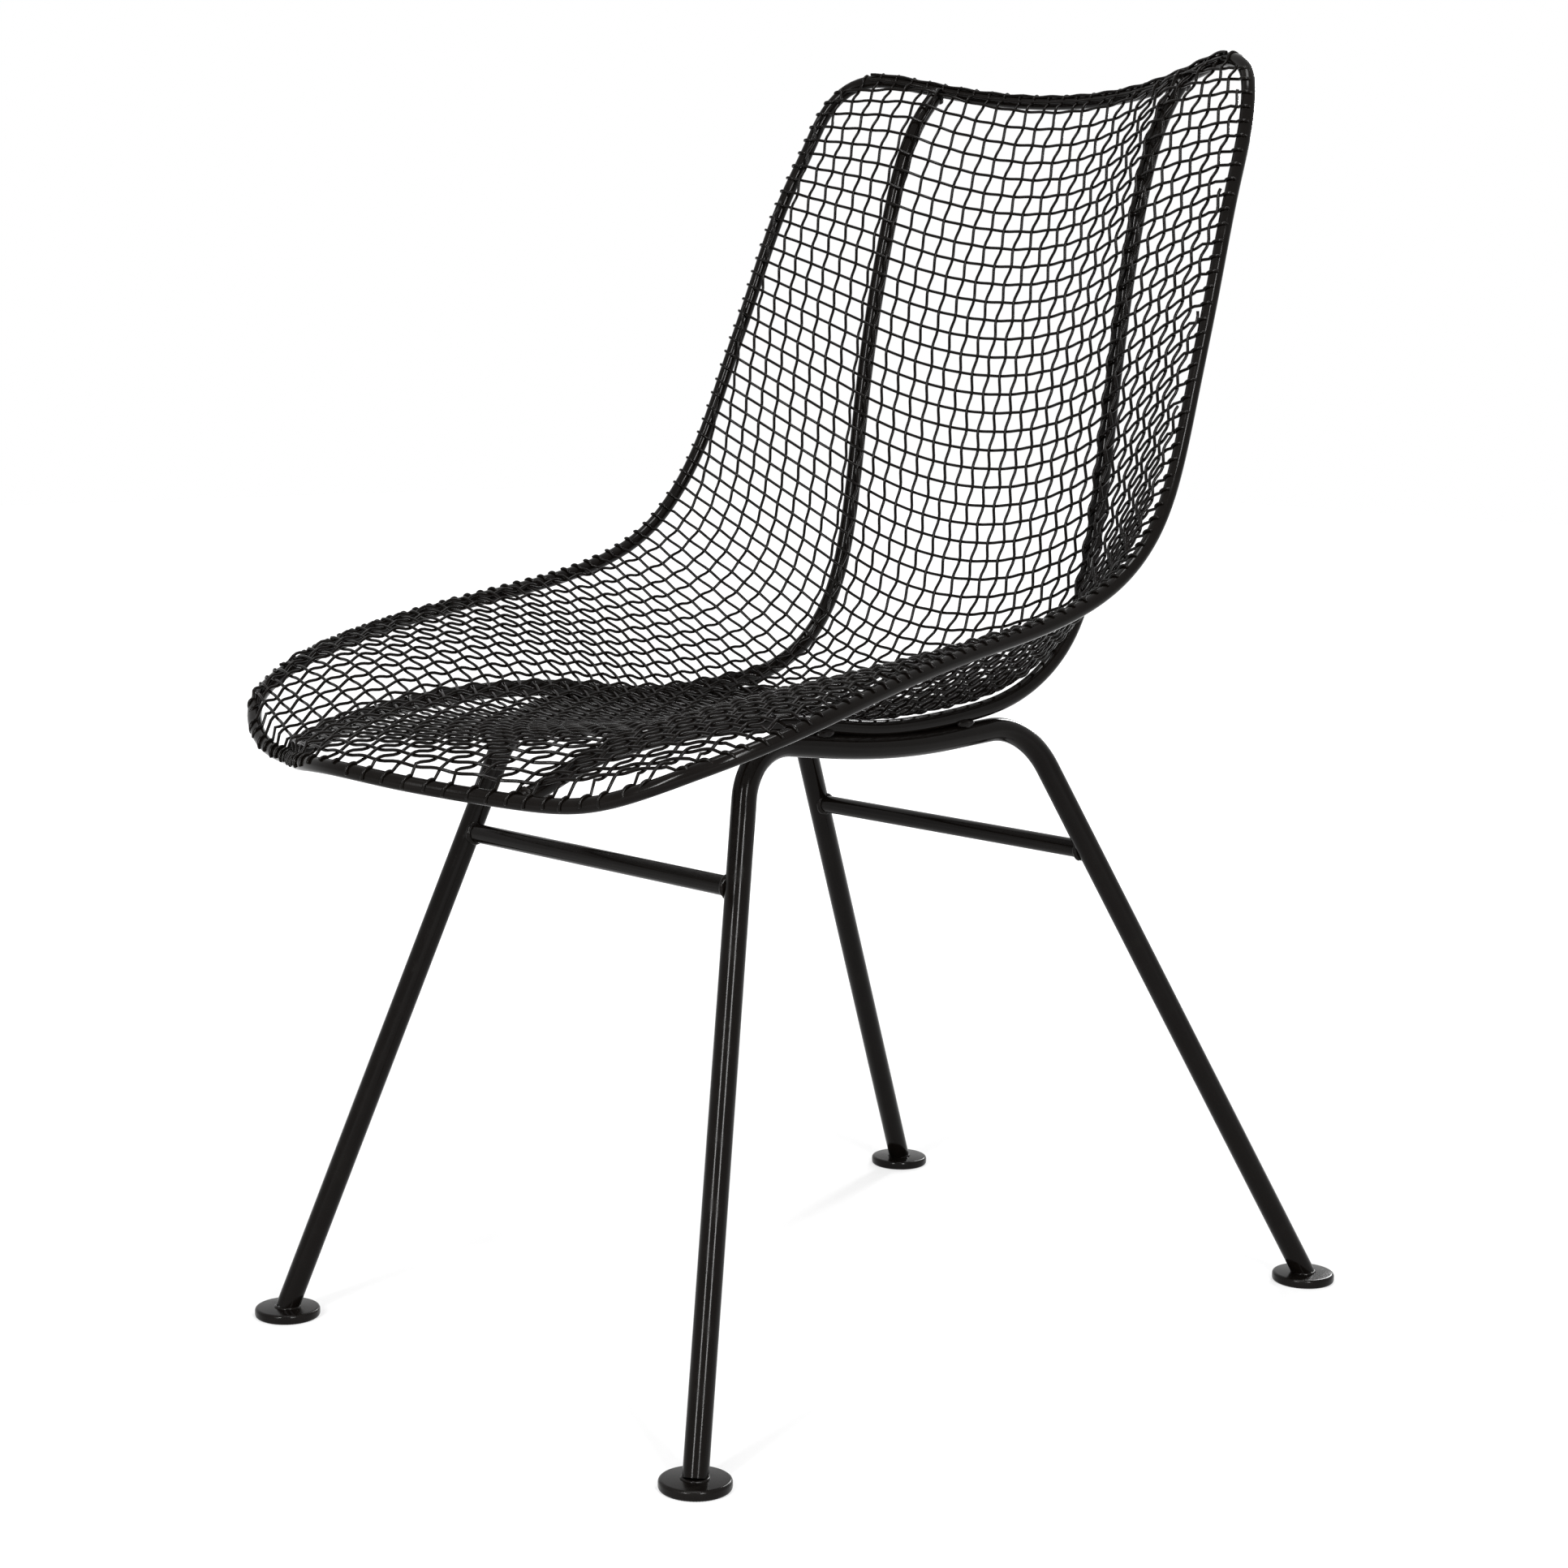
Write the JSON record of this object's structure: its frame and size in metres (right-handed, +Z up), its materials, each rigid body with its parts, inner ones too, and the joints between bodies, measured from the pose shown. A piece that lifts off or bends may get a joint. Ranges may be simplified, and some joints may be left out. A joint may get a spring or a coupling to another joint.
{
  "type": "wire mesh bucket chair",
  "caption": "Side chair with a one-piece woven wire mesh bucket seat and back on a bent rod rim and ribs, carried by splayed bent tube legs with disc feet, all painted black.",
  "frame": {"origin": "on the floor, under the middle of the overall box", "axes": "+Z up, -Y toward the front edge of the seat, +X to the sitter's left"},
  "size_m": [0.492, 0.7291, 0.8625],
  "materials": {
    "frame_paint": "glossy black paint on steel rod and tube",
    "mesh_paint": "glossy black paint on crimped steel wire",
    "foot_paint": "black paint, a little worn at the floor",
    "weld_paint": "glossy black paint over lumpy weld beads"
  },
  "bodies": {
    "root": {"rim_rod": "frame_paint", "left_rib_rod": "frame_paint", "right_rib_rod": "frame_paint", "left_leg_frame": "frame_paint", "right_leg_frame": "frame_paint", "front_stretcher": "frame_paint", "rear_stretcher": "frame_paint", "front_feet": "foot_paint", "rear_feet": "foot_paint", "rib_saddle_welds": "weld_paint", "crosswise_wires_back": "mesh_paint", "crosswise_wires_bend": "mesh_paint", "crosswise_wires_seat": "mesh_paint", "left_lengthwise_wires": "mesh_paint", "right_lengthwise_wires": "mesh_paint"}
  },
  "joints": []
}
